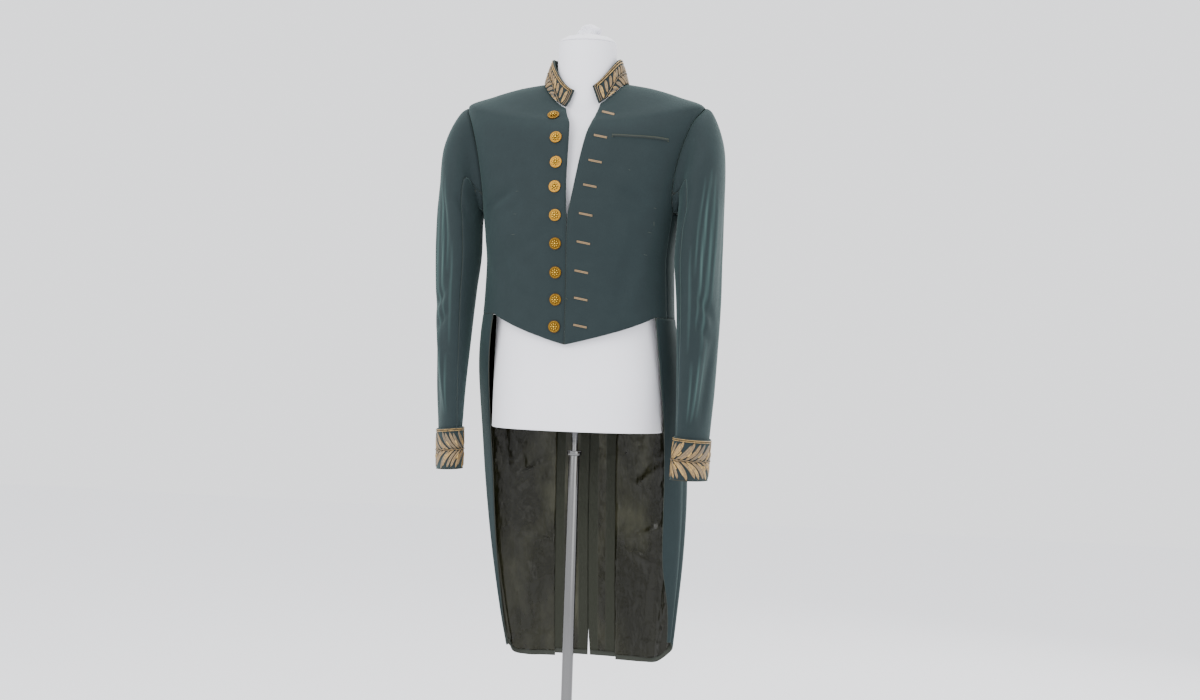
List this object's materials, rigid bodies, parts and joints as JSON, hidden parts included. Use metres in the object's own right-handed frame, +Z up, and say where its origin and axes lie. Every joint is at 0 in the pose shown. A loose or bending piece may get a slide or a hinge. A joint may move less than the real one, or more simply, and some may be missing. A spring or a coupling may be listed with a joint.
{
  "type": "academic tailcoat on a dress form",
  "caption": "Green wool academic tailcoat with standing collar, gilt buttons and bullion leaf embroidery, hanging open on a limbless dress form with a telescopic stand",
  "frame": {"origin": "middle of the underside of the stand's round base, on the floor", "axes": "+Z up the pole, front of the coat towards -Y, wearer's left towards +X"},
  "size_m": [0.5182, 0.38, 1.5953],
  "materials": {
    "wool_cloth": "dark green fine wool twill, matt with a faint nap",
    "lining": "dark olive satin lining with soft creases",
    "embroidery": "padded bullion leaves in aged gold and silver thread on the green cloth",
    "button_metal": "polished gilt, domed with a plain radial relief",
    "form_cover": "white stretch jersey",
    "chrome": "polished chrome tube"
  },
  "bodies": {
    "stand": {"base": "chrome", "tube": "chrome", "clamp_collar": "chrome"},
    "mast": {"rod": "chrome"},
    "dressed_form": {"front_right": "wool_cloth", "side_body_right": "wool_cloth", "back_right": "wool_cloth", "skirt_right": "wool_cloth", "skirt_lining_right": "lining", "back_lining_right": "lining", "top_sleeve_right": "wool_cloth", "under_sleeve_right": "wool_cloth", "cuff_right": "embroidery", "front_left": "wool_cloth", "side_body_left": "wool_cloth", "back_left": "wool_cloth", "skirt_left": "wool_cloth", "skirt_lining_left": "lining", "back_lining_left": "lining", "top_sleeve_left": "wool_cloth", "under_sleeve_left": "wool_cloth", "cuff_left": "embroidery", "collar": "embroidery", "pocket_welt": "wool_cloth", "button_1": "button_metal", "button_2": "button_metal", "button_3": "button_metal", "button_4": "button_metal", "button_5": "button_metal", "button_6": "button_metal", "button_7": "button_metal", "button_8": "button_metal", "button_9": "button_metal", "form_torso": "form_cover", "neck_cap": "form_cover"}
  },
  "joints": [
    {"name": "height", "type": "slide", "parent": "stand", "child": "mast", "axis": [0, 0, 1], "range_m": [-0.035, 0.3]},
    {"name": "turn", "type": "hinge", "parent": "mast", "child": "dressed_form", "pos_m": [0, 0, 0.869], "axis": [0, 0, 1], "continuous": true}
  ]
}
